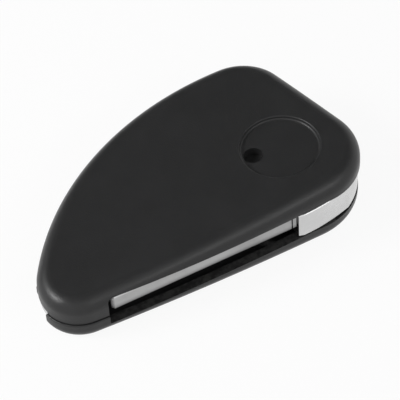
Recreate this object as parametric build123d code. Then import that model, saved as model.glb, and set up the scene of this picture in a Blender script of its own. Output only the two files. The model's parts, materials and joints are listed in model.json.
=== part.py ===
from build123d import *

import math
import os

# Shell of a flip-out key fob, back cover up, blade folded.
# Two frames are used. In the mould frame +Z is the hinge axis and z = 0 is the front face under
# the hinge. In the resting frame the front face lies flat on z = 0. Millimetres and degrees.

# Outline in plan, about the hinge axis
SHELL_WIDTH = 37.65
HINGE_TO_SIDE = 13.25
HINGE_TO_TIP = 51.45
WIDE_END_SLANT = 14.0
CURVED_SIDE_R = 56.0
UPPER_CORNER_R = 9.5
TIP_FAR_R = 9.5
TIP_NEAR_R = 6.9
TIP_JOIN_TURN = 190.0

# What differs between the covers' outlines: hinge corner's place and radius, side bow
REAR_CORNER_X = 2.65
REAR_CORNER_R = 11.1
REAR_SIDE_R = 430.0
FRONT_CORNER_X = 0.8
FRONT_CORNER_R = 13.0
FRONT_SIDE_R = 600.0
FRONT_PROUD = 0.3

# Thickness and faces
HINGE_THICKNESS = 13.0
BACK_SLOPE = 3.0
FRONT_SLOPE = 1.9
CROWN_R = 500.0
CROWN_Y = -2.0
BACK_EDGE_R = 2.8
FRONT_EDGE_R = 2.3
FRONT_RIM_R = 0.25
WALL = 1.6
FLOOR = 1.6
ROOF = 1.6
PARTING_Z = 5.3
PARTING_BEVEL = 0.05
PARTING_GAP = 0.12
PARTING_GAP_DEPTH = 0.6
TONGUE = 0.75
TONGUE_HEIGHT = 0.8
TONGUE_GAP = 0.1

# Blade slot along the straight side
SLOT_LOW = 3.5
SLOT_HIGH = 9.4
SLOT_END_X = -42.25
SLOT_DEPTH = 8.05
SLOT_CORNER_R = 1.0
SLOT_LOW_CORNER_R = 0.35
RIB = 1.0

# Flip head, a disc that turns about the hinge axis, flattened where it shows in the slot
HEAD_GAP = 0.15
HEAD_R = 14.05
HEAD_FLAT = 13.0
HEAD_SIDE_R = 34.0
HEAD_SIDE_X = -3.4
HEAD_PROUD = 0.5
HEAD_FACE_X = -4.0
HEAD_NOTCH_DEPTH = 8.35
HEAD_EDGE_R = 0.4
POCKET_GAP = 0.4
POCKET_WALL = 1.1
CORNER_OPENING_Y = 8.9
LIP_FALL = 3.4
LIP_FALL_X = -1.0
LIP_R = 12.0

# Blade
BLADE_THICKNESS = 3.3
BLADE_WIDTH = 7.55
BLADE_SETBACK = 0.1
BLADE_TIP_GAP = 0.8
BLADE_TIP_BEVEL = 0.5
BLADE_ROUND = 0.6
BLADE_GAP = 0.25
EXIT_GAP = 0.4
GROOVE_WIDTH = 2.6
GROOVE_DEPTH = 0.6
GROOVE_TO_EDGE = 1.5
SHOULDER = 0.7
SHOULDER_GROOVE = 0.28
SHOULDER_GROOVE_DEPTH = 0.5
TANG_THICKNESS = 2.2
TANG_WIDTH = 4.2
TANG_LENGTH = 7.4
TANG_TO_EDGE = 1.15
TANG_FIT = 0.05

# Roll pin through head and tang
PIN_R = 0.9
PIN_WALL = 0.35
PIN_SLIT = 0.3
PIN_LENGTH = 5.0
PIN_SINK = 0.25
PIN_X = -1.2
PIN_FIT = 0.02

# Hub, release button and springs
SLEEVE_R = 5.65
SLEEVE_RECESS = 0.55
RUNNING_GAP = 0.08
HUB_BOSS_WALL = 1.9
BUTTON_R = 4.32
BUTTON_RECESS = 0.45
BUTTON_EDGE_R = 0.4
BUTTON_DISH_R = 26.0
BUTTON_DISH_DEPTH = 0.22
BUTTON_TRAVEL = 1.3
FLANGE_R = 5.25
FLANGE_Z = 3.75
FLANGE_THICKNESS = 0.6
CHAMBER_GAP = 0.15
SEAT_GAP = 0.05
LUG_WIDTH = 1.6
LUG_REACH = 0.95
LUG_GAP = 0.12
CUP_R = 2.45
CUP_FLOOR_Z = 1.9
PIVOT_R = 5.9
PIVOT_HEIGHT = 1.1
PIVOT_END_GAP = 0.15
PLATE_R = 5.0
PLATE_THICKNESS = 0.4
STUB_R = 1.45
STUB_FLAT = 1.0
FLIP_COIL_R = 4.35
FLIP_WIRE_R = 0.34
FLIP_TURNS = 2.0
RETURN_COIL_R = 1.97
RETURN_WIRE_R = 0.24
RETURN_TURNS = 5.5
COIL_END_GAP = 0.05

# Badge recess and the hole for the badge's peg
BADGE_R = 7.3
BADGE_DEPTH = 0.8
BADGE_RIM_R = 0.25
PEG_HOLE_R = 1.8
PEG_HOLE_X = -4.84
PEG_HOLE_Y = 1.3
PEG_HOLE_DEPTH = 1.8

# Keys, worked from the front face
KEY_NAMES = ("lock_key", "unlock_key", "boot_key")
KEY_FIRST_X = -20.3
KEY_PITCH = 7.4
KEY_Y = 2.4
KEY_LENGTH = 6.0
KEY_WIDTH = 9.0
KEY_CORNER_R = 2.4
KEY_GAP = 0.15
KEY_RECESS = 0.25
KEY_EDGE_R = 0.35
KEY_FLANGE = 0.55
KEY_FLANGE_THICKNESS = 0.6

# Key pad under the keys
PAD_THICKNESS = 0.8
PAD_MARGIN = 1.0
PAD_CORNER_R = 2.0
PAD_GAP = 0.08
PAD_POST_R = 1.4
PAD_POST_HEIGHT = 0.7

# Board tray and its contacts
TRAY_GAP = 0.4
TRAY_SETBACK = 0.05
TRAY_PLATE = 0.9
TRAY_WALL = 0.9
TRAY_TOP_Z = 7.4
TRAY_SEAT_GAP = 0.05
TRAY_POST_GAP = 0.35
CELL_SHIFT = 1.1
CELL_Y = 6.6
CELL_R = 8.1
CELL_RING_WALL = 0.8
CELL_RING_HEIGHT = 1.8
CELL_RING_SLIT = 4.0
CONTACT_THICKNESS = 0.3
CONTACT_WIDTH = 3.0
CONTACT_RISE = 0.8

# Screws that join the covers
SCREW_SPOTS = ((-43.1, 0.2), (3.0, 18.5))
SCREW_R = 0.98
SCREW_HEAD_R = 1.9
SCREW_HEAD_HEIGHT = 1.1
SCREW_RECESS = 0.3
SCREW_CLEARANCE = 0.15
SCREW_THREAD_GAP = 0.02
SCREW_LENGTH = 6.2
SCREW_CROSS = 0.55
SCREW_CROSS_DEPTH = 0.6
BOSS_R = 2.4
BOSS_END = 0.4

# Key ring bow across the notch at the tip
BOW_R = 1.1
BOW_COVER = 0.2
BOW_Z = 4.3
BOW_BITE = 1.1
BOW_FIT = 0.02
NOTCH_TURN = 168.0
NOTCH_HIGH = 5.8
NOTCH_WIDTH = 6.6
NOTCH_DEPTH = 4.4
NOTCH_CORNER_R = 0.8
TIP_BLOCK = 6.6

# Placing cutters well clear of what they cut
FAR = 60.0

# Values worked out from the sizes above
SLOT_INNER_Y = SLOT_DEPTH - HINGE_TO_SIDE
HEAD_LOW = SLOT_LOW + HEAD_GAP
HEAD_HIGH = SLOT_HIGH - HEAD_GAP
HEAD_NOTCH_Y = HEAD_NOTCH_DEPTH - HINGE_TO_SIDE
POCKET_R = HEAD_R + POCKET_GAP
BLADE_HIGH = HEAD_HIGH
BLADE_LOW = BLADE_HIGH - BLADE_THICKNESS
BLADE_EDGE_Y = BLADE_SETBACK - HINGE_TO_SIDE
BLADE_TIP_X = SLOT_END_X + BLADE_TIP_GAP
HUB_BORE_R = SLEEVE_R + RUNNING_GAP
BUTTON_BORE_R = BUTTON_R + RUNNING_GAP
CHAMBER_R = FLANGE_R + CHAMBER_GAP
CHAMBER_LOW = FLANGE_Z - SEAT_GAP
PIVOT_LOW = SLOT_HIGH - PIVOT_HEIGHT
PIVOT_BORE_R = PIVOT_R + RUNNING_GAP
CHAMBER_HIGH = PIVOT_LOW - PIVOT_END_GAP
PLATE_LOW = PIVOT_LOW - PLATE_THICKNESS
BOW_BEND_R = TIP_FAR_R - BOW_R - BOW_COVER
FACE = Rot(0, FRONT_SLOPE, 0)
BACK = Pos(0, 0, HINGE_THICKNESS) * Rot(0, -BACK_SLOPE, 0)


def polar(length, angle):
    turn = math.radians(angle)
    return Vector(length * math.cos(turn), length * math.sin(turn))


def heading(vector):
    return math.degrees(math.atan2(vector.Y, vector.X))


def tip_centres():
    # The far arc reaches the tip and the near arc the straight side, and they touch at the join.
    step = polar(TIP_FAR_R - TIP_NEAR_R, TIP_JOIN_TURN)
    far = Vector(TIP_FAR_R - HINGE_TO_TIP, TIP_NEAR_R - HINGE_TO_SIDE - step.Y)
    return far, far + step


def side_centre(tip, tip_r, corner, corner_r, side_r):
    # The bowed side touches the tip's arc and the hinge corner's arc, both inside it.
    span = corner - tip
    unit = span.normalized()
    to_tip = side_r - tip_r
    along = (to_tip**2 - (side_r - corner_r) ** 2 + span.length**2) / (2 * span.length)
    return tip + unit * along + Vector(-unit.Y, unit.X) * math.sqrt(to_tip**2 - along**2)


def outline(inset=0.0, corner_x=REAR_CORNER_X, corner_r=REAR_CORNER_R, side_r=REAR_SIDE_R):
    # Six arcs and the straight wide end, each tangent to the next, all moved inwards by the inset.
    far, near = tip_centres()
    hinge = Vector(corner_x, corner_r - HINGE_TO_SIDE)
    side = side_centre(near, TIP_NEAR_R, hinge, corner_r, side_r)
    curve_y = SHELL_WIDTH - HINGE_TO_SIDE - CURVED_SIDE_R
    curve_x = far.X + math.sqrt((CURVED_SIDE_R - TIP_FAR_R) ** 2 - (curve_y - far.Y) ** 2)
    curve = Vector(curve_x, curve_y)
    reach = CURVED_SIDE_R - UPPER_CORNER_R
    across = corner_r - UPPER_CORNER_R + (hinge - curve).dot(polar(1, WIDE_END_SLANT))
    corner_turn = WIDE_END_SLANT + math.degrees(math.acos(across / reach))
    corner = curve + polar(reach, corner_turn)
    tip_turn = heading(far - curve)
    side_turn = (heading(near - side), heading(hinge - side))
    side_arc = CenterArc(side, side_r - inset, side_turn[0], side_turn[1] - side_turn[0])
    hinge_arc = CenterArc(hinge, corner_r - inset, side_turn[1], WIDE_END_SLANT - side_turn[1])
    corner_arc = CenterArc(corner, UPPER_CORNER_R - inset, WIDE_END_SLANT, corner_turn - WIDE_END_SLANT)
    wide_end = Line(hinge_arc @ 1, corner_arc @ 0)
    curved_side = CenterArc(curve, CURVED_SIDE_R - inset, corner_turn, tip_turn - corner_turn)
    far_arc = CenterArc(far, TIP_FAR_R - inset, tip_turn, TIP_JOIN_TURN - tip_turn)
    near_arc = CenterArc(near, TIP_NEAR_R - inset, TIP_JOIN_TURN, 360 + side_turn[0] - TIP_JOIN_TURN)
    return make_face([side_arc, hinge_arc, wide_end, corner_arc, curved_side, far_arc, near_arc])


def front_outline():
    # The front cover stands a little proud and fills its hinge corner less.
    return outline(-FRONT_PROUD, FRONT_CORNER_X, FRONT_CORNER_R, FRONT_SIDE_R)


def prism(face, low, high):
    return extrude(Pos(0, 0, low) * face, amount=high - low, dir=(0, 0, 1))


def block(x, y, z):
    # A box from its low and high value along each axis.
    centre = Pos((x[0] + x[1]) / 2, (y[0] + y[1]) / 2, (z[0] + z[1]) / 2)
    return centre * Box(x[1] - x[0], y[1] - y[0], z[1] - z[0])


def post(radius, low, high, x=0.0, y=0.0):
    return Pos(x, y, (low + high) / 2) * Cylinder(radius, high - low)


def above_front(height):
    # Everything further than height from the sloped front face.
    return FACE * block((-2 * FAR, FAR), (-FAR, FAR), (height, FAR))


def under_back(depth):
    # Everything deeper than depth under the crowned back face.
    barrel = Rot(0, 90, 0) * Cylinder(CROWN_R - depth, 4 * FAR)
    return BACK * Pos(0, CROWN_Y, -CROWN_R) * barrel


def front_z(x):
    return -x * math.tan(math.radians(FRONT_SLOPE))


def slot_space():
    # The long slot for the blade, with rounded corners at its blind end.
    space = block((SLOT_END_X, 0), (-FAR, SLOT_INNER_Y), (SLOT_LOW, SLOT_HIGH))
    space = fillet(space.edges().filter_by(Axis.Y).group_by(Axis.X)[0].sort_by(Axis.Z)[-1], SLOT_CORNER_R)
    return fillet(space.edges().filter_by(Axis.Y).group_by(Axis.X)[0].sort_by(Axis.Z)[0], SLOT_LOW_CORNER_R)


def head_space():
    # Where the head turns, open round the corner, and the blade's way out at the wide end.
    space = post(POCKET_R, SLOT_LOW, SLOT_HIGH)
    space += block((0, FAR), (-FAR, CORNER_OPENING_Y), (SLOT_LOW, SLOT_HIGH))
    exit_y = (-BLADE_EDGE_Y - BLADE_WIDTH - EXIT_GAP, -BLADE_EDGE_Y + EXIT_GAP)
    space += block((0, FAR), exit_y, (BLADE_LOW - BLADE_GAP, SLOT_HIGH))
    return space


def lip_fall():
    # Under the head the front cover's rim falls away a little towards the wide end.
    space = block((0, FAR), (-FAR, CORNER_OPENING_Y), (0, FAR))
    return Pos(LIP_FALL_X, 0, SLOT_LOW) * Rot(0, LIP_FALL, 0) * space - post(LIP_R, -FAR, FAR)


def notch_space():
    # The notch at the tip, open through the front face, with the back cover as its roof.
    half = NOTCH_WIDTH / 2
    space = block((TIP_FAR_R - NOTCH_DEPTH, 2 * TIP_FAR_R), (-half, half), (-FAR, NOTCH_HIGH))
    space = fillet(space.edges().filter_by(Axis.Z).group_by(Axis.X)[0], NOTCH_CORNER_R)
    return Pos(tip_centres()[0]) * Rot(0, 0, NOTCH_TURN) * space


def bow(radius, bite):
    # A round bar bent along the tip's arc, let into both walls of the notch by the bite.
    spread = math.degrees(math.asin(NOTCH_WIDTH / 2 / BOW_BEND_R) + bite / BOW_BEND_R)
    section = Plane.XZ * Pos(BOW_BEND_R, BOW_Z) * Circle(radius)
    bent = Rot(0, 0, NOTCH_TURN - spread) * revolve(section, Axis.Z, 2 * spread)
    return Pos(tip_centres()[0]) * bent


def inside(face):
    # A cavity outline that stops short of the solid tip.
    room = Rectangle(2 * FAR, 2 * FAR, align=(Align.MIN, Align.CENTER))
    return face & Pos(TIP_BLOCK - HINGE_TO_TIP, 0) * room


def rib_walls(low, high):
    # The wall behind the blade slot and the ring wall round the head's pocket.
    ring = post(POCKET_R + POCKET_WALL, low, high) - post(POCKET_R, low, high)
    behind = block((TIP_BLOCK - HINGE_TO_TIP - RIB, 0), (SLOT_INNER_Y, SLOT_INNER_Y + RIB), (low, high))
    return ring + (behind - post(POCKET_R, low, high))


def tongue_ring(outer, low, high):
    return prism(outline(outer), low, high) - prism(outline(WALL), low, high)


def front_cover():
    blank = prism(front_outline(), -FLOOR, PARTING_Z) & above_front(0)
    blank = fillet(blank.faces().sort_by(Axis.Z)[-1].edges(), FRONT_RIM_R)
    blank = fillet(blank.faces().sort_by(Axis.Z)[0].edges(), FRONT_EDGE_R)
    cavity = prism(inside(outline(WALL)), -FLOOR, FAR) & above_front(FLOOR)
    cavity -= post(HUB_BORE_R + HUB_BOSS_WALL, -FLOOR, SLOT_LOW) + rib_walls(-FLOOR, PARTING_Z)
    for x, y in SCREW_SPOTS:
        cavity -= post(BOSS_R, -FLOOR, PARTING_Z, x, y)
    cover = blank - cavity
    cover += tongue_ring(WALL - TONGUE, PARTING_Z, PARTING_Z + TONGUE_HEIGHT)
    cover -= slot_space() + head_space()
    cover -= lip_fall() + post(HUB_BORE_R, -FLOOR, SLOT_LOW)
    for x, y in SCREW_SPOTS:
        seat = front_z(x) + SCREW_RECESS + SCREW_HEAD_HEIGHT
        cover -= post(SCREW_R + SCREW_CLEARANCE, -FLOOR, FAR, x, y)
        cover -= post(SCREW_HEAD_R + SCREW_CLEARANCE, -FLOOR, seat, x, y)
    for x in key_spots():
        cover -= FACE * key_plate(x, KEY_GAP, (-FLOOR, FLOOR + KEY_GAP))
    return cover - notch_space() - bow(BOW_R + BOW_FIT, BOW_BITE + BOW_FIT)


def rear_cover():
    blank = prism(outline(), PARTING_Z + PARTING_GAP, FAR / 2) & under_back(0)
    blank = chamfer(blank.faces().sort_by(Axis.Z)[0].edges(), PARTING_BEVEL)
    blank = fillet(blank.faces().sort_by(Axis.Z)[-1].edges(), BACK_EDGE_R)
    blank += prism(outline(PARTING_GAP_DEPTH), PARTING_Z, PARTING_Z + PARTING_GAP)
    cavity = prism(inside(outline(WALL)), 0, FAR) & under_back(ROOF)
    cavity -= rib_walls(0, FAR / 2) + post(POCKET_R, SLOT_HIGH, FAR / 2)
    cavity -= block((SLOT_END_X, 0), (-FAR, SLOT_INNER_Y + RIB), (SLOT_HIGH, FAR / 2))
    for x, y in SCREW_SPOTS:
        cavity -= post(BOSS_R, 0, FAR / 2, x, y)
    cover = blank - cavity
    groove_high = PARTING_Z + TONGUE_HEIGHT + TONGUE_GAP
    cover -= tongue_ring(WALL - TONGUE - TONGUE_GAP, PARTING_Z, groove_high)
    cover -= slot_space() + head_space()
    cover += post(PIVOT_R, PIVOT_LOW, SLOT_HIGH) + stub(STUB_R, STUB_FLAT)
    for x, y in SCREW_SPOTS:
        hole = post(SCREW_R + SCREW_THREAD_GAP, PARTING_Z, screw_end(x) + BOSS_END, x, y)
        cover -= hole
    cover -= BACK * post(BADGE_R, -BADGE_DEPTH, BADGE_DEPTH)
    cover = fillet(circles(cover, BADGE_R)[-1], BADGE_RIM_R)
    hole_low = -BADGE_DEPTH - PEG_HOLE_DEPTH
    cover -= BACK * post(PEG_HOLE_R, hole_low, BADGE_DEPTH, PEG_HOLE_X, PEG_HOLE_Y)
    return cover - notch_space() - bow(BOW_R + BOW_FIT, BOW_BITE + BOW_FIT)


def circles(shape, radius):
    # Closed edges about as long as a circle of this radius, lowest first.
    around = 2 * math.pi * radius
    return shape.edges().filter_by(lambda edge: abs(edge.length - around) < 0.01 * around).sort_by(Axis.Z)


def stub(radius, flat):
    # The flatted stub that holds the spring plate from turning.
    return post(radius, PLATE_LOW, PIVOT_LOW) & block((-FAR, FAR), (-flat, flat), (0, FAR))


def blade_head():
    side_y = HEAD_SIDE_R - HINGE_TO_SIDE - HEAD_PROUD
    head = post(HEAD_R, HEAD_LOW, HEAD_HIGH) & post(HEAD_SIDE_R, HEAD_LOW, HEAD_HIGH, HEAD_SIDE_X, side_y)
    head -= block((-FAR, HEAD_FACE_X), (-FAR, HEAD_NOTCH_Y), (0, FAR))
    head -= Rot(0, 0, WIDE_END_SLANT) * block((HEAD_FLAT, FAR), (-FAR, FAR), (0, FAR))
    head = fillet(head.edges().filter_by(GeomType.CIRCLE), HEAD_EDGE_R)
    head += post(SLEEVE_R, SLEEVE_RECESS, HEAD_LOW)
    head -= post(BUTTON_BORE_R, 0, HEAD_HIGH)
    head -= post(CHAMBER_R, CHAMBER_LOW, HEAD_HIGH)
    head -= post(PIVOT_BORE_R, CHAMBER_HIGH, HEAD_HIGH)
    head -= lugs(CHAMBER_LOW, CHAMBER_HIGH, LUG_GAP)
    head -= tang(TANG_FIT)
    head -= post(PIN_R + PIN_FIT, 0, FAR, PIN_X, tang_y())
    return head


def lugs(low, high, gap):
    reach = FLANGE_R + LUG_REACH + gap
    half = LUG_WIDTH / 2 + gap
    return block((-half, half), (-reach, reach), (low, high))


def tang_y():
    return BLADE_EDGE_Y + TANG_TO_EDGE + TANG_WIDTH / 2


def tang(gap):
    mid = (BLADE_LOW + BLADE_HIGH) / 2
    half_z = TANG_THICKNESS / 2 + gap
    half_y = TANG_WIDTH / 2 + gap
    across = (tang_y() - half_y, tang_y() + half_y)
    along = (HEAD_FACE_X - TANG_FIT, HEAD_FACE_X + TANG_LENGTH + gap)
    return block(along, across, (mid - half_z, mid + half_z))


def blade():
    edge = (BLADE_EDGE_Y, BLADE_EDGE_Y + BLADE_WIDTH)
    bar = block((BLADE_TIP_X, HEAD_FACE_X - TANG_FIT), edge, (BLADE_LOW, BLADE_HIGH))
    bar = fillet(bar.edges().filter_by(Axis.X), BLADE_ROUND)
    bar = chamfer(bar.faces().sort_by(Axis.X)[0].edges().sort_by(Axis.Z)[0], BLADE_TIP_BEVEL)
    groove_y = (edge[0] + GROOVE_TO_EDGE, edge[0] + GROOVE_TO_EDGE + GROOVE_WIDTH)
    groove_x = (-FAR, HEAD_FACE_X - SHOULDER - GROOVE_WIDTH)
    bar -= block(groove_x, groove_y, (BLADE_LOW, BLADE_LOW + GROOVE_DEPTH))
    bar -= block(groove_x, groove_y, (BLADE_HIGH - GROOVE_DEPTH, BLADE_HIGH))
    core_y = (edge[0] + SHOULDER_GROOVE_DEPTH, edge[1] - SHOULDER_GROOVE_DEPTH)
    core_z = (BLADE_LOW + SHOULDER_GROOVE_DEPTH, BLADE_HIGH - SHOULDER_GROOVE_DEPTH)
    collar_x = HEAD_FACE_X - TANG_FIT - SHOULDER_GROOVE - SHOULDER
    for ring_end in (collar_x, HEAD_FACE_X - TANG_FIT):
        ring_x = (ring_end - SHOULDER_GROOVE, ring_end)
        bar -= block(ring_x, (-FAR, 0), (0, FAR)) - block(ring_x, core_y, core_z)
    bar += tang(0)
    return bar - post(PIN_R + PIN_FIT, 0, FAR, PIN_X, tang_y())


def pin_low():
    return HEAD_HIGH - PIN_SINK - PIN_LENGTH


def blade_pin():
    # A rolled pin, open along one side.
    low = pin_low()
    high = low + PIN_LENGTH
    y = tang_y()
    pin = post(PIN_R, low, high, PIN_X, y) - post(PIN_R - PIN_WALL, low, high, PIN_X, y)
    half = PIN_SLIT / 2
    return pin - block((PIN_X, PIN_X + 2 * PIN_R), (y - half, y + half), (low, high))


def release_button():
    button = post(BUTTON_R, BUTTON_RECESS, FLANGE_Z)
    button = fillet(button.edges().group_by(Axis.Z)[0], BUTTON_EDGE_R)
    button += post(FLANGE_R, FLANGE_Z, FLANGE_Z + FLANGE_THICKNESS)
    button += lugs(FLANGE_Z, FLANGE_Z + FLANGE_THICKNESS, 0)
    button -= post(CUP_R, CUP_FLOOR_Z, FAR)
    dish_z = BUTTON_RECESS + BUTTON_DISH_DEPTH - BUTTON_DISH_R
    return button - Pos(0, 0, dish_z) * Sphere(BUTTON_DISH_R)


def coil(radius, wire_r, turns, low, high):
    # A round wire wound between two heights.
    rise = high - low - 2 * wire_r
    path = Pos(0, 0, low + wire_r) * Helix(pitch=rise / turns, height=rise, radius=radius)
    section = Plane(origin=path @ 0, z_dir=path % 0) * Circle(wire_r)
    return sweep(section, path=path, is_frenet=True)


def flip_spring():
    low = FLANGE_Z + FLANGE_THICKNESS + BUTTON_TRAVEL + COIL_END_GAP
    return coil(FLIP_COIL_R, FLIP_WIRE_R, FLIP_TURNS, low, PLATE_LOW - COIL_END_GAP)


def button_spring():
    low = CUP_FLOOR_Z + COIL_END_GAP
    return coil(RETURN_COIL_R, RETURN_WIRE_R, RETURN_TURNS, low, PLATE_LOW - COIL_END_GAP)


def spring_plate():
    plate = post(PLATE_R, PLATE_LOW, PIVOT_LOW) - stub(STUB_R + SEAT_GAP, STUB_FLAT + SEAT_GAP)
    hook = block((PLATE_R - 2 * FLIP_WIRE_R, PLATE_R), (-FLIP_WIRE_R, FLIP_WIRE_R), (0, FAR))
    return plate - hook


def key_spots():
    return [KEY_FIRST_X - index * KEY_PITCH for index in range(len(KEY_NAMES))]


def key_plate(x, grow, z, extra=0.0):
    # A rounded plate round one key's place, in the resting frame.
    size = (KEY_LENGTH + 2 * (grow + extra), KEY_WIDTH + 2 * (grow + extra))
    face = RectangleRounded(size[0], size[1], KEY_CORNER_R + grow + extra)
    return extrude(Pos(x, KEY_Y, z[0]) * face, amount=z[1] - z[0], dir=(0, 0, 1))


def key_cap(x):
    cap = key_plate(x, 0, (KEY_RECESS, FLOOR + SEAT_GAP))
    cap = fillet(cap.faces().sort_by(Axis.Z)[0].edges(), KEY_EDGE_R)
    flange_low = FLOOR + SEAT_GAP
    return cap + key_plate(x, 0, (flange_low, flange_low + KEY_FLANGE_THICKNESS), KEY_FLANGE)


def pad_low():
    return FLOOR + SEAT_GAP + KEY_FLANGE_THICKNESS + PAD_GAP


def pad_ends():
    # The pad's low and high x, past the outer keys.
    spots = key_spots()
    beyond = KEY_LENGTH / 2 + KEY_FLANGE + PAD_MARGIN
    return spots[-1] - beyond, spots[0] + beyond


def key_pad():
    # One soft sheet with a pocket over each key and a post behind it.
    left_x, right_x = pad_ends()
    width = KEY_WIDTH + 2 * (KEY_FLANGE + PAD_MARGIN)
    top = pad_low() + PAD_THICKNESS
    face = RectangleRounded(right_x - left_x, width, PAD_CORNER_R)
    sheet = Pos((left_x + right_x) / 2, KEY_Y, FLOOR + SEAT_GAP) * face
    pad = extrude(sheet, amount=top - FLOOR - SEAT_GAP, dir=(0, 0, 1))
    for x in key_spots():
        pad -= key_plate(x, KEY_GAP, (0, pad_low()), KEY_FLANGE)
        pad += post(PAD_POST_R, top, top + PAD_POST_HEIGHT, x, KEY_Y)
    return pad


def tray_low():
    return pad_low() + PAD_THICKNESS + TRAY_SEAT_GAP


def tray_plan(inset):
    # The board's outline: the shell's inner wall, the slot's rib, the pocket's ring and the pad's end.
    low_y = SLOT_INNER_Y + RIB + TRAY_GAP + inset
    right_x = -(POCKET_R + POCKET_WALL + TRAY_GAP) - inset
    left_x = pad_ends()[0] + TRAY_SETBACK + inset
    room = Rectangle(right_x - left_x, 2 * FAR, align=(Align.MIN, Align.MIN))
    return outline(WALL + TRAY_GAP + inset) & Pos(left_x, low_y) * room


def cell_x():
    # The cell stands near the middle key.
    return key_spots()[1] + CELL_SHIFT


def cell_ring(low, high):
    ring = post(CELL_R + CELL_RING_WALL, low, high, cell_x(), CELL_Y)
    ring -= post(CELL_R, low, high, cell_x(), CELL_Y)
    half = CELL_RING_SLIT / 2
    return ring - block((cell_x() - FAR, cell_x() + FAR), (CELL_Y - half, CELL_Y + half), (low, high))


def board_tray():
    floor_high = tray_low() + TRAY_PLATE
    tray = prism(tray_plan(0), 0, TRAY_TOP_Z) & above_front(tray_low())
    tray -= prism(tray_plan(TRAY_WALL), 0, FAR) & above_front(floor_high)
    tray += FACE * cell_ring(floor_high - TRAY_PLATE / 2, floor_high + CELL_RING_HEIGHT)
    for x in key_spots():
        tray -= FACE * post(PAD_POST_R + TRAY_POST_GAP, 0, floor_high, x, KEY_Y)
    return tray


def contact_base(x, low):
    half = CONTACT_WIDTH / 2
    return block(x, (CELL_Y - half, CELL_Y + half), (low, low + CONTACT_THICKNESS))


def contact_minus():
    # A leaf under the cell, with its free end bent up.
    low = tray_low() + TRAY_PLATE + TRAY_SEAT_GAP
    half = CONTACT_WIDTH / 2
    spots = key_spots()
    start = spots[1] + PAD_POST_R + TRAY_POST_GAP + CONTACT_THICKNESS
    end = cell_x() + CELL_R - CONTACT_WIDTH
    leaf = contact_base((start, end), low)
    leaf += block((end - CONTACT_THICKNESS, end), (CELL_Y - half, CELL_Y + half), (low, low + CONTACT_RISE))
    return leaf


def contact_plus():
    # A strip through the ring's slit, standing up beside the cell.
    low = tray_low() + TRAY_PLATE + TRAY_SEAT_GAP
    half = CONTACT_WIDTH / 2
    outer = cell_x() - CELL_R - CELL_RING_WALL - CONTACT_WIDTH / 2
    inner = cell_x() - CELL_R + CONTACT_THICKNESS
    strip = contact_base((outer, inner), low)
    across = (CELL_Y - half, CELL_Y + half)
    strip += block((inner - CONTACT_THICKNESS, inner), across, (low, low + CELL_RING_HEIGHT))
    return strip


def screw_end(x):
    return front_z(x) + SCREW_RECESS + SCREW_HEAD_HEIGHT + SCREW_LENGTH


def cover_screws():
    screws = Part()
    for x, y in SCREW_SPOTS:
        head_low = front_z(x) + SCREW_RECESS
        seat = head_low + SCREW_HEAD_HEIGHT
        screw = post(SCREW_HEAD_R, head_low, seat, x, y) + post(SCREW_R, seat, screw_end(x), x, y)
        half = SCREW_CROSS / 2
        arm = SCREW_HEAD_R * SCREW_CROSS + half
        depth = (head_low, head_low + SCREW_CROSS_DEPTH)
        screw -= block((x - arm, x + arm), (y - half, y + half), depth)
        screw -= block((x - half, x + half), (y - arm, y + arm), depth)
        screws += screw
    return screws


def key_ring_bow():
    return bow(BOW_R, BOW_BITE)


def rest(shape):
    # From the mould frame to the resting frame.
    return Rot(0, -FRONT_SLOPE, 0) * shape


def build():
    parts = {"front_cover": rest(front_cover()), "rear_cover": rest(rear_cover())}
    for maker in (blade_head, blade, blade_pin, release_button, flip_spring, button_spring):
        parts[maker.__name__] = rest(maker())
    for maker in (spring_plate, board_tray, key_ring_bow, cover_screws):
        parts[maker.__name__] = rest(maker())
    for name, x in zip(KEY_NAMES, key_spots()):
        parts[name] = key_cap(x)
    for maker in (key_pad, contact_minus, contact_plus):
        parts[maker.__name__] = maker()
    return parts


def main():
    parts = build()
    box = parts["rear_cover"].bounding_box().add(parts["front_cover"].bounding_box())
    centre = box.center()
    os.makedirs("parts", exist_ok=True)
    for name, shape in parts.items():
        export_step(Pos(-centre.X, -centre.Y, -box.min.Z) * shape, f"parts/{name}.step")
    print("hinge axis at", -centre.X, -centre.Y, -box.min.Z, "shell size", box.size)


main()
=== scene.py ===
import json
import math

import bpy
import numpy as np
from mathutils import Matrix, Vector


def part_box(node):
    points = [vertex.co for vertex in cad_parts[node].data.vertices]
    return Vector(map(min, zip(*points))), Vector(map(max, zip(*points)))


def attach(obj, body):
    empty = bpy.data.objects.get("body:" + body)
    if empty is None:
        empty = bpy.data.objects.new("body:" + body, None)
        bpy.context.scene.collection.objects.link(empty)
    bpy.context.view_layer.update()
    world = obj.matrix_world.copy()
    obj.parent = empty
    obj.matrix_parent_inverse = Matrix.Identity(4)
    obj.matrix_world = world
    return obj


print("loading the packed shell")
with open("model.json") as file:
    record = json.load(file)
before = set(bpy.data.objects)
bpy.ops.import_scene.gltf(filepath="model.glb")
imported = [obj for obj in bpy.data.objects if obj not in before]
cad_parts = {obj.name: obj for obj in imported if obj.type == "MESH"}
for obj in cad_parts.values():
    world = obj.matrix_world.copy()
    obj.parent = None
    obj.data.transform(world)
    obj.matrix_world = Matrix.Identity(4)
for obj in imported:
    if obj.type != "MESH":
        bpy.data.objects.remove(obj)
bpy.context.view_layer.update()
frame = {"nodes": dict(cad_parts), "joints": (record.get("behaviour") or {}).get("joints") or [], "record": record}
nodes = frame["nodes"]
record = frame["record"]
mm = 0.001
hinge = next(joint for joint in frame["joints"] if joint["name"] == "blade_flip")
hingeFoot = Vector(hinge["pos_m"]) / mm
hingeAxis = Vector(hinge["axis"])

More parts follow.
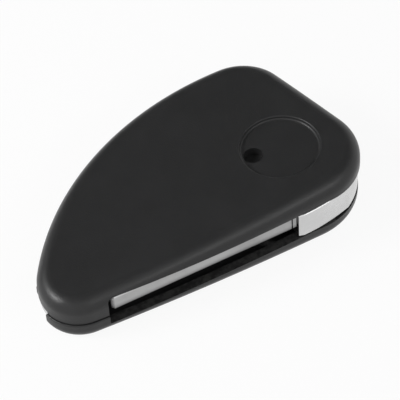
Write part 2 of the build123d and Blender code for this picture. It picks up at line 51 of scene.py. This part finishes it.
# The photograph's view in mm: where the camera looks, from the hinge's foot, and how far it stands.
photoView = {
    "fromHinge": (-16.144, 1.467, 5.670),
    "right": (0.8750, -0.4840, -0.0130),
    "up": (0.3648, 0.6416, 0.6748),
    "distance": 470.7,
    "lens": 234.5,
    "sensor": 36.0,
    "clip": (10.0, 20000.0),
}


def makeCamera(view):
    right = Vector(view["right"]).normalized()
    up = Vector(view["up"])
    up = (up - right * up.dot(right)).normalized()
    back = right.cross(up)
    data = bpy.data.cameras.new("photoCamera")
    data.sensor_width = view["sensor"]
    data.lens = view["lens"]
    data.clip_start = view["clip"][0] * mm
    data.clip_end = view["clip"][1] * mm
    camera = bpy.data.objects.new("photoCamera", data)
    turned = Matrix((right, up, back)).transposed().to_4x4()
    target = hingeFoot + Vector(view["fromHinge"])
    camera.matrix_world = Matrix.Translation((target + back * view["distance"]) * mm) @ turned
    bpy.context.scene.collection.objects.link(camera)
    bpy.context.scene.camera = camera


def newMaterial(name):
    material = bpy.data.materials.new(name)
    material.use_nodes = True
    tree = material.node_tree
    return material, tree, tree.nodes["Principled BSDF"]


def addNode(tree, kind, **settings):
    node = tree.nodes.new(kind)
    for key, value in settings.items():
        setattr(node, key, value)
    return node


def feed(tree, socket, value):
    # another node's output is linked to the socket, a number or vector is set on it, None leaves it alone
    if isinstance(value, bpy.types.NodeSocket):
        tree.links.new(value, socket)
    elif value is not None:
        socket.default_value = value


def mathNode(tree, operation, first, second=None, clamp=False):
    node = addNode(tree, "ShaderNodeMath", operation=operation, use_clamp=clamp)
    feed(tree, node.inputs[0], first)
    feed(tree, node.inputs[1], second)
    return node.outputs[0]


def reachAlong(tree, vector, direction):
    # how far a vector reaches along a direction
    node = addNode(tree, "ShaderNodeVectorMath", operation="DOT_PRODUCT")
    feed(tree, node.inputs[0], vector)
    feed(tree, node.inputs[1], direction)
    return node.outputs["Value"]


def ramp(tree, value, low, high, toLow=0.0, toHigh=1.0):
    # a smooth step from toLow, where the value is low, to toHigh, where it is high
    node = addNode(tree, "ShaderNodeMapRange", interpolation_type="SMOOTHSTEP")
    feed(tree, node.inputs["Value"], value)
    feed(tree, node.inputs["From Min"], low)
    feed(tree, node.inputs["From Max"], high)
    feed(tree, node.inputs["To Min"], toLow)
    feed(tree, node.inputs["To Max"], toHigh)
    return node.outputs["Result"]


def noise(tree, vector, scale, detail, roughness):
    node = addNode(tree, "ShaderNodeTexNoise")
    feed(tree, node.inputs["Vector"], vector)
    feed(tree, node.inputs["Scale"], scale)
    feed(tree, node.inputs["Detail"], detail)
    feed(tree, node.inputs["Roughness"], roughness)
    return node.outputs["Fac"]


def mixColors(tree, factor, first, second):
    # either colour is an output, or a tuple of red, green and blue
    node = addNode(tree, "ShaderNodeMix", data_type="RGBA")
    feed(tree, node.inputs["Factor"], factor)
    for label, value in (("A", first), ("B", second)):
        socket = next(s for s in node.inputs if s.name == label and s.type == "RGBA")
        feed(tree, socket, (*value, 1.0) if isinstance(value, tuple) else value)
    return next(s for s in node.outputs if s.type == "RGBA")


# The studio, in metres: a pale floor, three soft boxes, and two grey cards, one overhead and one upright
# behind. The shell's top mirrors the cards, and the camera doesn't see them.
studio = {
    "worldStrength": 0.60,  # for the rays that light the shell; what is seen of the world is plain white
    "floorColor": (0.83, 0.83, 0.83),
    "floorRoughness": 0.8,
    "floorSpecular": 0.1,
    "floorSize": 6.0,
    "floorDrop": 0.00002,  # keeps the floor clear of the flat face that lies on it
    "whiteShare": 0.92,  # how much of the floor is plain white where it is seen
    "cardColor": (0.52, 0.52, 0.52),
    "cardRoughness": 0.95,
    "cardHeight": 0.95,
    "cardX": (-1.6, 1.6),
    "cardY": (-0.36, 2.6),
    "backCardX": (-3.0, 1.6),
    # name: (direction from the shell, distance, width, height, power)
    "lamps": {
        "tipSoftbox": ((-0.77, 0.24, 0.57), 0.50, 0.20, 0.14, 1.7),
        "sideSoftbox": ((-0.52, 0.70, 0.49), 0.90, 0.50, 0.40, 1.0),
        "frontFill": ((0.32, -0.71, 0.57), 0.90, 0.50, 0.16, 0.95),
    },
}


def makeLamp(name, direction, distance, width, height, power):
    data = bpy.data.lights.new(name, "AREA")
    data.shape = "RECTANGLE"
    data.size = width
    data.size_y = height
    data.energy = power
    lamp = bpy.data.objects.new(name, data)
    towards = Vector(direction).normalized()
    lamp.location = towards * distance
    lamp.rotation_mode = "QUATERNION"
    lamp.rotation_quaternion = towards.to_track_quat("Z", "Y")
    bpy.context.scene.collection.objects.link(lamp)


def seenRays(tree):
    # 1 for camera, glossy and transmission rays, 0 for the rays that light the scene
    path = addNode(tree, "ShaderNodeLightPath").outputs
    seen = mathNode(tree, "MAXIMUM", path["Is Camera Ray"], path["Is Glossy Ray"])
    return mathNode(tree, "MAXIMUM", seen, path["Is Transmission Ray"])


def makeWorld(settings):
    world = bpy.data.worlds.new("studioWorld")
    bpy.context.scene.world = world
    world.use_nodes = True
    tree = world.node_tree
    background = tree.nodes["Background"]
    background.inputs["Color"].default_value = (1.0, 1.0, 1.0, 1.0)
    strength = ramp(tree, seenRays(tree), 0.0, 1.0, settings["worldStrength"], 1.0)
    feed(tree, background.inputs["Strength"], strength)


def makeSheet(name, corners):
    mesh = bpy.data.meshes.new(name)
    mesh.from_pydata(corners, [], [(0, 1, 2, 3)])
    sheet = bpy.data.objects.new(name, mesh)
    bpy.context.scene.collection.objects.link(sheet)
    return sheet


def levelSheet(name, x, y, z):
    # a level rectangle between two values of x and of y, at height z
    return makeSheet(name, [(x[0], y[0], z), (x[1], y[0], z), (x[1], y[1], z), (x[0], y[1], z)])


def uprightSheet(name, x, y, z):
    # an upright rectangle between two values of x and of z, at distance y
    return makeSheet(name, [(x[0], y, z[0]), (x[1], y, z[0]), (x[1], y, z[1]), (x[0], y, z[1])])


def makeFloor(settings):
    # the shader keeps the shadow, and plain white is mixed in where the floor is seen
    half = settings["floorSize"] / 2
    floor = levelSheet("floor", (-half, half), (-half, half), -settings["floorDrop"])
    material, tree, shader = newMaterial("paleFloor")
    shader.inputs["Base Color"].default_value = (*settings["floorColor"], 1.0)
    shader.inputs["Roughness"].default_value = settings["floorRoughness"]
    shader.inputs["Specular IOR Level"].default_value = settings["floorSpecular"]
    glow = addNode(tree, "ShaderNodeEmission")
    mix = addNode(tree, "ShaderNodeMixShader")
    feed(tree, mix.inputs["Fac"], mathNode(tree, "MULTIPLY", seenRays(tree), settings["whiteShare"]))
    feed(tree, mix.inputs[1], shader.outputs[0])
    feed(tree, mix.inputs[2], glow.outputs[0])
    feed(tree, tree.nodes["Material Output"].inputs["Surface"], mix.outputs[0])
    floor.data.materials.append(material)
    return floor


def makeCards(settings):
    height = settings["cardHeight"]
    topCard = levelSheet("topCard", settings["cardX"], settings["cardY"], height)
    backCard = uprightSheet("backCard", settings["backCardX"], settings["cardY"][1], (0.0, height))
    material, tree, shader = newMaterial("cardCloth")
    shader.inputs["Base Color"].default_value = (*settings["cardColor"], 1.0)
    shader.inputs["Roughness"].default_value = settings["cardRoughness"]
    for card in (topCard, backCard):
        card.data.materials.append(material)
        card.visible_camera = False
    return topCard, backCard


def makeStudio(settings):
    makeWorld(settings)
    floor = makeFloor(settings)
    topCard, backCard = makeCards(settings)
    for name, lamp in settings["lamps"].items():
        makeLamp(name, *lamp)
    bpy.context.scene.view_settings.view_transform = "Standard"


print("setting the camera and the studio")
makeCamera(photoView)
makeStudio(studio)


def makeGroup(name, inputs, outputs):
    # A number among the inputs makes a number socket, and None a vector socket. Every output is a number.
    group = bpy.data.node_groups.new(name, "ShaderNodeTree")
    for label, value in inputs.items():
        kind = "NodeSocketVector" if value is None else "NodeSocketFloat"
        socket = group.interface.new_socket(label, in_out="INPUT", socket_type=kind)
        if value is not None:
            socket.default_value = value
    for label in outputs:
        group.interface.new_socket(label, in_out="OUTPUT", socket_type="NodeSocketFloat")
    return group, addNode(group, "NodeGroupInput").outputs, addNode(group, "NodeGroupOutput").inputs


def placeGroup(tree, group, **values):
    # an underscore in a value's name stands for a space in the socket's
    node = addNode(tree, "ShaderNodeGroup", node_tree=group)
    for label, value in values.items():
        feed(tree, node.inputs[label.replace("_", " ")], value)
    return node.outputs


# In the patterns of the shared effects, a noise is (scale, detail, roughness), or (detail, roughness) where
# the scale comes from elsewhere. A ramp is (low, high), or (low, high, result at low, result at high).
grainPattern = {
    "cellSmoothness": 0.6,
    "fineOverCells": 1.7,  # how much finer than the cells the noise is that breaks them up
    "fineNoise": (3.0, 0.5),
    "patchNoise": (140.0, 4.0, 0.6),
    "patchRamp": (0.3, 0.7),
}


def grainGroup(pattern):
    # Moulded grain: small rounded cells from a Voronoi distance, broken up by noise, and larger patches.
    inputs = {"Vector": None, "Cells per metre": 5000.0, "Patchiness": 0.4}
    group, ins, outs = makeGroup("mouldedGrain", inputs, ("Height", "Mottle"))
    cells = addNode(group, "ShaderNodeTexVoronoi", feature="SMOOTH_F1")
    feed(group, cells.inputs["Smoothness"], pattern["cellSmoothness"])
    feed(group, cells.inputs["Vector"], ins["Vector"])
    feed(group, cells.inputs["Scale"], ins["Cells per metre"])
    fineScale = mathNode(group, "MULTIPLY", ins["Cells per metre"], pattern["fineOverCells"])
    fine = noise(group, ins["Vector"], fineScale, *pattern["fineNoise"])
    feed(group, outs["Height"], mathNode(group, "ADD", cells.outputs["Distance"], fine))
    patches = ramp(group, noise(group, ins["Vector"], *pattern["patchNoise"]), *pattern["patchRamp"])
    feed(group, outs["Mottle"], mathNode(group, "MULTIPLY", patches, ins["Patchiness"]))
    return group


wearPattern = {
    "lines": ((0.5, 1500.0), (2.2, 1900.0)),  # (turn, scale) of each set of scratches
    "lineTilt": (0.2, 0.1),
    "lineStretch": (0.035, 1.0, 1.0),
    "lineNoise": (1.0, 0.5),
    "lineRamp": (0.70, 0.76),
    "smudgeNoise": (70.0, 5.0, 0.65),
    "smudgeRamp": (0.42, 0.68),
}


def wearGroup(pattern):
    # Handling marks: short crossing scratches from two stretched noises, and soft smudges.
    inputs = {"Vector": None, "Scratches": 0.3, "Smudges": 0.3}
    group, ins, outs = makeGroup("handlingWear", inputs, ("Scratch", "Smudge"))
    lines = []
    for turn, scale in pattern["lines"]:
        mapping = addNode(group, "ShaderNodeMapping")
        feed(group, mapping.inputs["Rotation"], (*pattern["lineTilt"], turn))
        feed(group, mapping.inputs["Scale"], pattern["lineStretch"])
        feed(group, mapping.inputs["Vector"], ins["Vector"])
        stretched = noise(group, mapping.outputs["Vector"], scale, *pattern["lineNoise"])
        lines.append(ramp(group, stretched, *pattern["lineRamp"]))
    scratches = mathNode(group, "MAXIMUM", *lines)
    feed(group, outs["Scratch"], mathNode(group, "MULTIPLY", scratches, ins["Scratches"]))
    smudges = ramp(group, noise(group, ins["Vector"], *pattern["smudgeNoise"]), *pattern["smudgeRamp"])
    feed(group, outs["Smudge"], mathNode(group, "MULTIPLY", smudges, ins["Smudges"]))
    return group


edgePattern = {
    "risingRamp": (0.15, 0.55),
    "fallingRamp": (0.80, 0.97, 1.0, 0.0),
    "brokenNoise": (420.0, 4.0, 0.6),
    "brokenRamp": (0.3, 0.6, 0.35, 1.0),
}


def edgeGroup(pattern):
    # Rounded edges of a flat body: where the surface's own normal is neither level nor upright.
    group, ins, outs = makeGroup("roundedEdge", {"Vector": None, "Normal": None, "Amount": 0.5}, ("Edge",))
    split = addNode(group, "ShaderNodeSeparateXYZ")
    feed(group, split.inputs[0], ins["Normal"])
    upright = mathNode(group, "ABSOLUTE", split.outputs["Z"])
    rising = ramp(group, upright, *pattern["risingRamp"])
    falling = ramp(group, upright, *pattern["fallingRamp"])
    band = mathNode(group, "MULTIPLY", rising, falling)
    broken = ramp(group, noise(group, ins["Vector"], *pattern["brokenNoise"]), *pattern["brokenRamp"])
    edge = mathNode(group, "MULTIPLY", mathNode(group, "MULTIPLY", band, broken), ins["Amount"])
    feed(group, outs["Edge"], edge)
    return group


def paintedShadeGroup():
    # Painted shade that deepens towards one side: how far a point lies along a direction, from unshaded to shaded.
    inputs = {"Vector": None, "Direction": None, "Clear": 1.0, "Grimy": 0.0}
    group, ins, outs = makeGroup("gatheredGrime", inputs, ("Grime",))
    place = reachAlong(group, ins["Vector"], ins["Direction"])
    feed(group, outs["Grime"], ramp(group, place, ins["Grimy"], ins["Clear"], 1.0, 0.0))
    return group


dustPattern = {
    "levelRamp": (0.90, 0.98),
    "patchNoise": (900.0, 5.0, 0.7),
    "patchRamp": (0.40, 0.62, 0.10, 1.0),
}


def dustGroup(pattern):
    # Patches of dust on a level ledge: the surface faces up and lies near one height along a direction.
    inputs = {"Vector": None, "Normal": None, "Direction": None, "Height": 0.0, "Reach": 0.001}
    group, ins, outs = makeGroup("ledgeDust", inputs, ("Dust",))
    place = reachAlong(group, ins["Vector"], ins["Direction"])
    away = mathNode(group, "ABSOLUTE", mathNode(group, "SUBTRACT", place, ins["Height"]))
    near = mathNode(group, "LESS_THAN", away, ins["Reach"])
    level = ramp(group, reachAlong(group, ins["Normal"], ins["Direction"]), *pattern["levelRamp"])
    patchy = ramp(group, noise(group, ins["Vector"], *pattern["patchNoise"]), *pattern["patchRamp"])
    dust = mathNode(group, "MULTIPLY", mathNode(group, "MULTIPLY", near, level), patchy)
    feed(group, outs["Dust"], dust)
    return group


print("building the shared surface effects")
mouldedGrain = grainGroup(grainPattern)
handlingWear = wearGroup(wearPattern)
roundedEdge = edgeGroup(edgePattern)
# the next group paints shade towards the blade's lower edge
gatheredGrime = paintedShadeGroup()
ledgeDust = dustGroup(dustPattern)


def lowestAlong(node, direction):
    # the lowest place of a CAD node's points along a direction, in metres
    mesh = nodes[node].data
    points = np.empty(3 * len(mesh.vertices))
    mesh.vertices.foreach_get("co", points)
    return float((points.reshape(-1, 3) @ np.array(direction)).min())


bladeEdge = lowestAlong("blade", hingeAxis)

# The dusty floor of the blade's slot: how far it lies under the blade's lower edge, and how far from
# that height there is still dust, in mm.
slotDust = {"belowBlade": 2.45, "reach": 0.3, "color": (0.050, 0.050, 0.049)}


def dustSlot(tree, place, color):
    # the shell's colour, with dust on the floor of the blade's slot
    dust = placeGroup(
        tree,
        ledgeDust,
        Vector=place["Object"],
        Normal=place["Normal"],
        Direction=hingeAxis,
        Height=bladeEdge - slotDust["belowBlade"] * mm,
        Reach=slotDust["reach"] * mm,
    )
    return mixColors(tree, dust["Dust"], color, slotDust["color"])


# Painted shade on the blade: how far above its lower edge its side is clear of it, and how far below it would be
# all shade, in mm.
bladeShade = {"clearAbove": 1.6, "grimyBelow": 0.5, "color": (0.035, 0.035, 0.035)}


def shadeBlade(tree, place, color):
    # the blade's colour, with painted shade that darkens it towards its lower edge
    shadeMask = placeGroup(
        tree,
        gatheredGrime,
        Vector=place["Object"],
        Direction=hingeAxis,
        Clear=bladeEdge + bladeShade["clearAbove"] * mm,
        Grimy=bladeEdge - bladeShade["grimyBelow"] * mm,
    )
    return mixColors(tree, shadeMask["Grime"], color, bladeShade["color"])


# what lies over a finish's own colour: dust on the floor of the slot, and painted shade on the blade
overlays = {"shellPlastic": dustSlot, "bladeSteel": shadeBlade}


def paint(name, tree, shader, place, color):
    if name in overlays:
        color = overlays[name](tree, place, color)
    feed(tree, shader.inputs["Base Color"], color)


def bump(tree, shader, height, depth):
    # a height of 1 raises the surface by the depth, in mm
    node = addNode(tree, "ShaderNodeBump")
    feed(tree, node.inputs["Distance"], depth * mm)
    feed(tree, node.inputs["Height"], height)
    feed(tree, shader.inputs["Normal"], node.outputs["Normal"])


plasticFinishes = {
    # name: (deep colour, worn colour, cells per metre, roughness, edge share, grain depth in mm)
    "shellPlastic": ((0.0182, 0.0183, 0.0186), (0.034, 0.034, 0.035), 4200.0, 0.35, 0.12, 0.013),
    "trayPlastic": ((0.012, 0.012, 0.013), (0.024, 0.024, 0.025), 7000.0, 0.55, 0.15, 0.006),
    "keyRubber": ((0.020, 0.020, 0.021), (0.045, 0.045, 0.047), 9000.0, 0.62, 0.30, 0.005),
    "padRubber": ((0.21, 0.22, 0.23), (0.30, 0.31, 0.32), 6000.0, 0.58, 0.15, 0.004),
    "markPaint": ((0.46, 0.47, 0.48), (0.30, 0.30, 0.31), 9000.0, 0.50, 0.60, 0.003),
}

# What all the plastics share. The last two are added to the roughness.
plasticLook = {
    "ior": 1.38,
    "patchiness": 0.5,
    "scratches": 0.06,
    "smudges": 0.5,
    "mottleShare": 0.3,
    "wherePolished": -0.10,
    "whereSmudged": 0.07,
}


def plasticMaterial(name, look):
    # Grain, handling marks and worn edges move the colour from deep to worn. Wear polishes, smudges dull.
    deep, worn, cells, rough, edgeShare, depth = plasticFinishes[name]
    material, tree, shader = newMaterial(name)
    shader.inputs["IOR"].default_value = look["ior"]
    place = addNode(tree, "ShaderNodeTexCoord").outputs
    spot = place["Object"]
    grain = placeGroup(tree, mouldedGrain, Vector=spot, Cells_per_metre=cells, Patchiness=look["patchiness"])
    wear = placeGroup(tree, handlingWear, Vector=spot, Scratches=look["scratches"], Smudges=look["smudges"])
    edge = placeGroup(tree, roundedEdge, Vector=spot, Normal=place["Normal"], Amount=edgeShare)
    worked = mathNode(tree, "MAXIMUM", edge["Edge"], wear["Scratch"])
    mottle = mathNode(tree, "MULTIPLY", grain["Mottle"], look["mottleShare"])
    tint = mathNode(tree, "ADD", worked, mottle, clamp=True)
    paint(name, tree, shader, place, mixColors(tree, tint, deep, worn))
    polished = mathNode(tree, "ADD", mathNode(tree, "MULTIPLY", worked, look["wherePolished"]), rough)
    smudged = mathNode(tree, "MULTIPLY", wear["Smudge"], look["whereSmudged"])
    feed(tree, shader.inputs["Roughness"], mathNode(tree, "ADD", polished, smudged))
    bump(tree, shader, grain["Height"], depth)
    return material


metalFinishes = {
    # name: (colour, dull colour, roughness, brush stretch, brush lines per metre, brush depth in mm)
    "headChrome": ((0.67, 0.67, 0.67), (0.58, 0.58, 0.58), 0.20, (1.0, 1.0, 1.0), 1500.0, 0.0010),
    "bladeSteel": ((0.43, 0.43, 0.43), (0.33, 0.33, 0.33), 0.34, (0.03, 1.0, 1.0), 9000.0, 0.0015),
    "pinSteel": ((0.50, 0.50, 0.50), (0.36, 0.36, 0.36), 0.36, (1.0, 1.0, 0.1), 6000.0, 0.0012),
    "buttonChrome": ((0.74, 0.74, 0.75), (0.62, 0.62, 0.63), 0.12, (1.0, 1.0, 1.0), 1500.0, 0.0006),
    "springSteel": ((0.43, 0.44, 0.46), (0.28, 0.28, 0.30), 0.30, (1.0, 1.0, 1.0), 9000.0, 0.0008),
    "contactMetal": ((0.70, 0.64, 0.46), (0.52, 0.46, 0.30), 0.28, (0.1, 1.0, 1.0), 8000.0, 0.0006),
    "bowChrome": ((0.76, 0.76, 0.77), (0.60, 0.60, 0.61), 0.12, (1.0, 1.0, 1.0), 3000.0, 0.0006),
    "screwSteel": ((0.070, 0.070, 0.072), (0.035, 0.035, 0.036), 0.38, (1.0, 1.0, 1.0), 6000.0, 0.0012),
}

# What all the metals share. The last two are added to the roughness.
metalLook = {
    "brushNoise": (3.0, 0.6),
    "brushShare": 0.45,
    "scratches": 0.5,
    "smudges": 0.7,
    "whereDulled": 0.12,
    "whereScratched": 0.15,
}


def metalMaterial(name, look):
    # Brush lines and smudges move the colour from bright to dull, and scratches cut into the brush lines.
    bright, dull, rough, stretch, lines, depth = metalFinishes[name]
    material, tree, shader = newMaterial(name)
    shader.inputs["Metallic"].default_value = 1.0
    place = addNode(tree, "ShaderNodeTexCoord").outputs
    spot = place["Object"]
    mapping = addNode(tree, "ShaderNodeMapping")
    feed(tree, mapping.inputs["Scale"], stretch)
    feed(tree, mapping.inputs["Vector"], spot)
    brushed = noise(tree, mapping.outputs["Vector"], lines, *look["brushNoise"])
    wear = placeGroup(tree, handlingWear, Vector=spot, Scratches=look["scratches"], Smudges=look["smudges"])
    brushDull = mathNode(tree, "MULTIPLY", brushed, look["brushShare"])
    dulled = mathNode(tree, "ADD", brushDull, wear["Smudge"], clamp=True)
    paint(name, tree, shader, place, mixColors(tree, dulled, bright, dull))
    rougher = mathNode(tree, "MULTIPLY", dulled, look["whereDulled"])
    scratched = mathNode(tree, "MULTIPLY", wear["Scratch"], look["whereScratched"])
    rougher = mathNode(tree, "ADD", rougher, scratched)
    feed(tree, shader.inputs["Roughness"], mathNode(tree, "ADD", rougher, rough))
    bump(tree, shader, mathNode(tree, "SUBTRACT", brushed, wear["Scratch"]), depth)
    return material


print("giving every CAD node its finish")
finishes = {name: plasticMaterial(name, plasticLook) for name in plasticFinishes}
finishes.update({name: metalMaterial(name, metalLook) for name in metalFinishes})
nodeFinishes = {
    "rear_cover": "shellPlastic",
    "front_cover": "shellPlastic",
    "blade_head": "headChrome",
    "blade": "bladeSteel",
    "blade_pin": "pinSteel",
    "release_button": "buttonChrome",
    "flip_spring": "springSteel",
    "button_spring": "springSteel",
    "spring_plate": "pinSteel",
    "lock_key": "keyRubber",
    "unlock_key": "keyRubber",
    "boot_key": "keyRubber",
    "key_pad": "padRubber",
    "board_tray": "trayPlastic",
    "contact_plus": "contactMetal",
    "contact_minus": "contactMetal",
    "key_ring_bow": "bowChrome",
    "cover_screws": "screwSteel",
}
for nodeName, finishName in nodeFinishes.items():
    for slot in nodes[nodeName].material_slots:
        slot.material = finishes[finishName]


def quadsRound(rows, columns, joinRows):
    # quads between neighbouring rows of a grid whose columns come round
    row = np.arange(rows if joinRows else rows - 1)[:, None]
    column = np.arange(columns)[None, :]
    nextColumn = (column + 1) % columns
    here = row * columns
    after = (row + 1) % rows * columns
    corners = (here + column, here + nextColumn, after + nextColumn, after + column)
    return np.stack(np.broadcast_arrays(*corners), -1).reshape(-1, 4)


def solidFromRings(name, rings, joinRows=False):
    # Closed skin over a stack of rings, an array of (ring, point, xyz) in mm. The first and last ring are
    # closed with a flat face, or meet each other where joinRows. Turned round if its volume is negative.
    rows, columns = rings.shape[:2]
    points = rings.reshape(-1, 3) * mm
    quads = quadsRound(rows, columns, joinRows)
    corner = points[quads]
    volume = np.einsum("ij,ij->", corner[:, 0], np.cross(corner[:, 1], corner[:, 2]))
    volume += np.einsum("ij,ij->", corner[:, 0], np.cross(corner[:, 2], corner[:, 3]))
    faces = quads.tolist()
    if not joinRows:
        faces.append(list(range(columns))[::-1])
        faces.append(list(range((rows - 1) * columns, rows * columns)))
    if volume < 0:
        faces = [face[::-1] for face in faces]
    mesh = bpy.data.meshes.new(name)
    mesh.from_pydata(points.tolist(), [], faces)
    mesh.shade_smooth()
    piece = bpy.data.objects.new(name, mesh)
    bpy.context.scene.collection.objects.link(piece)
    return piece


def dress(piece, body, finish):
    piece.data.materials.append(finishes[finish])
    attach(piece, body)


def axesOf(axis):
    # three unit directions as the rows of an array: across, along and the axis itself
    up = np.array(axis) / np.linalg.norm(axis)
    across = np.cross((0.0, 1.0, 0.0), up)
    across /= np.linalg.norm(across)
    return np.array((across, np.cross(up, across), up))


badgeSeat = {"fillet": 0.42, "bury": 0.04, "around": 240, "across": 14}


def makeBadgeSeat(seat):
    # Fillet at the foot of the recess's wall: a quarter circle hollow towards the recess, closed behind
    # inside the cover, and carried round a circle.
    mount = next(m for m in record["mounts"] if m["name"] == "badge_recess")
    radius = mount["dims"]["r_mm"]
    fillet, bury = seat["fillet"], seat["bury"]
    sweep = np.linspace(math.pi / 2, 0, seat["across"])
    out = np.append(radius - fillet + fillet * np.sin(sweep), [radius - fillet, radius + bury, radius + bury])
    up = np.append(fillet - fillet * np.cos(sweep), [-bury, -bury, fillet])
    turn = np.linspace(0, 2 * math.pi, seat["around"], endpoint=False)[:, None]
    local = np.stack(np.broadcast_arrays(out * np.cos(turn), out * np.sin(turn), up), -1)
    rings = local @ axesOf(mount["axis"]) + np.array(mount["pos_m"]) / mm
    dress(solidFromRings("badge_seat_fillet", rings, joinRows=True), "shell", "shellPlastic")


# The raised marks on the keys: a plate on each, with a hoop or a lid that is bent from a thin round bar.
# Lengths in mm, and numbers of rings and of points.
keyMark = {
    "relief": 0.12,
    "bury": 0.04,
    "plateLength": 1.5,
    "plateWidth": 2.1,
    "plateSquareness": 5.0,
    "plateAround": 72,
    "crownShare": (0.04, 0.80),  # where the crown begins and ends, of the way from centre to outline
    "crownRise": 0.02,
    "crownRings": 10,
    "rollShare": 0.88,  # where the face begins to roll over
    "rollRings": 7,
    "barRadius": 0.15,
    "barAround": 20,
    "hoopRadius": 0.62,
    "hoopLeg": 0.45,
    "hoopLegPoints": 6,
    "hoopBendPoints": 28,
    "hoopSwing": 1.24,  # how far aside the open hoop stands
    "lidGap": 0.25,
    "lidLength": 2.4,
    "lidRise": 0.85,
    "lidPoints": 16,
}


def crownedPlate(name, centre, base, mark):
    # Superellipse outline; the face is a shallow crown that rolls over into the sides by a quarter ellipse.
    turn = np.linspace(0, 2 * math.pi, mark["plateAround"], endpoint=False)
    power = 2 / mark["plateSquareness"]
    x = mark["plateLength"] / 2 * np.sign(np.cos(turn)) * np.abs(np.cos(turn)) ** power
    y = mark["plateWidth"] / 2 * np.sign(np.sin(turn)) * np.abs(np.sin(turn)) ** power
    crown = np.linspace(*mark["crownShare"], mark["crownRings"])
    roll = np.linspace(0, math.pi / 2, mark["rollRings"])
    rolled = mark["rollShare"] + (1 - mark["rollShare"]) * np.sin(roll)
    share = np.concatenate([crown, rolled, [1.0]])[:, None]
    crownHeight = mark["relief"] + mark["crownRise"] * (1 - crown**2)
    height = np.concatenate([crownHeight, mark["relief"] * np.cos(roll), [-mark["bury"]]])[:, None]
    face = np.broadcast_arrays(centre[0] + share * x, centre[1] + share * y, base - height)
    return solidFromRings(name, np.stack(face, -1))


def barAlong(name, path, mark):
    # A circle carried along a path: at each point it stands square to the path's direction.
    ahead = np.gradient(path, axis=0)
    ahead /= np.linalg.norm(ahead, axis=1)[:, None]
    up = np.array((0.0, 0.0, 1.0))
    side = np.cross(ahead, up)
    side /= np.linalg.norm(side, axis=1)[:, None]
    turn = np.linspace(0, 2 * math.pi, mark["barAround"], endpoint=False)[None, :, None]
    circle = np.cos(turn) * side[:, None, :] + np.sin(turn) * up
    return solidFromRings(name, path[:, None, :] + mark["barRadius"] * circle)


def hoopPath(centre, base, mark):
    # Two straight legs joined by half a circle that bulges towards +X.
    leg = np.linspace(0, mark["hoopLeg"], mark["hoopLegPoints"])
    side = np.ones(len(leg))
    bend = np.linspace(-math.pi / 2, math.pi / 2, mark["hoopBendPoints"])[1:-1]
    x = np.concatenate([leg, mark["hoopLeg"] + mark["hoopRadius"] * np.cos(bend), leg[::-1]])
    y = np.concatenate([-side, np.sin(bend), side]) * mark["hoopRadius"]
    return np.stack([centre[0] + x, centre[1] + y, np.full(len(x), base)], -1)


def lidPath(centre, base, mark):
    # A straight line beside the plate, slanted by lidRise over lidLength.
    slant = np.linspace(0, 1, mark["lidPoints"])
    x = centre[0] + mark["lidGap"] + slant * mark["lidRise"]
    y = centre[1] + (0.5 - slant) * mark["lidLength"]
    return np.stack([x, y, np.full(len(x), base)], -1)


def makeKeyMark(node, mark):
    low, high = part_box(node)
    base = low.z / mm
    x = (low.x + high.x) / 2 / mm
    y = (low.y + high.y) / 2 / mm
    plate = crownedPlate(f"{node}_plate", (x - mark["plateLength"] / 2, y), base, mark)
    if node == "boot_key":
        bar = barAlong(f"{node}_lid", lidPath((x, y), base, mark), mark)
    else:
        aside = mark["hoopSwing"] if node == "unlock_key" else 0.0
        bar = barAlong(f"{node}_hoop", hoopPath((x, y + aside), base, mark), mark)
    for piece in (plate, bar):
        dress(piece, node.replace("_key", ""), "markPaint")


print("adding the badge seat's fillet and the raised marks on the keys")
makeBadgeSeat(badgeSeat)
for keyNode in ("lock_key", "unlock_key", "boot_key"):
    makeKeyMark(keyNode, keyMark)
